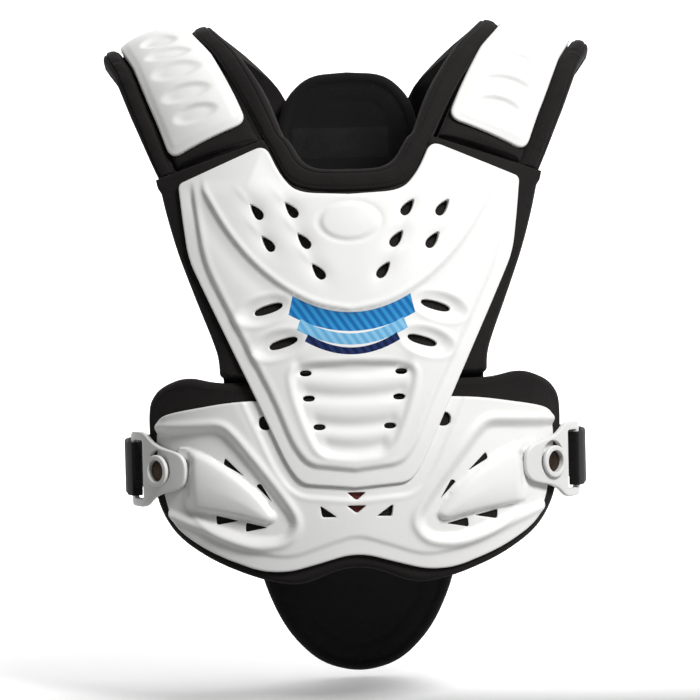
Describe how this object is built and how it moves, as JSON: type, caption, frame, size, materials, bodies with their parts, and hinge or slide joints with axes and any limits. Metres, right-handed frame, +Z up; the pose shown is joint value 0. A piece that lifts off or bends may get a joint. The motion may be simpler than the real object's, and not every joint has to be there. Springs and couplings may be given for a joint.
{
  "type": "roost deflector",
  "caption": "Upper-body guard with vented white chest, belt and shoulder plates over black foam, a padded back plate, side buckles and webbing straps.",
  "frame": {"origin": "midway between the shoulders, level with the underside of the shoulder straps at their crest, where the worn guard rests", "axes": "+X to the viewer's right as one faces the chest plate, -Y out of the front, +Z up"},
  "size_m": [0.4348, 0.2648, 0.6032],
  "materials": {
    "white_plate": "satin gloss white moulding",
    "front_foam": "charcoal cloth over moulded foam",
    "back_foam": "black cloth over foam",
    "buckle_white": "satin white moulding",
    "rivet": "dark bronze",
    "webbing": "woven black webbing"
  },
  "bodies": {
    "root": {"chest_plate": "white_plate", "belt_plate": "white_plate", "chest_liner": "front_foam", "belt_liner": "front_foam", "neck_roll": "front_foam", "shoulder_roll_left": "front_foam", "shoulder_pad_left": "front_foam", "shoulder_cap_left": "white_plate", "shoulder_roll_right": "front_foam", "shoulder_pad_right": "front_foam", "shoulder_cap_right": "white_plate", "back_pad": "back_foam", "back_shell": "white_plate", "buckle_plate_left": "buckle_white", "buckle_stud_left": "buckle_white", "stud_rivet_left": "rivet", "side_strap_left": "webbing", "buckle_plate_right": "buckle_white", "buckle_stud_right": "buckle_white", "stud_rivet_right": "rivet", "side_strap_right": "webbing"}
  },
  "joints": []
}
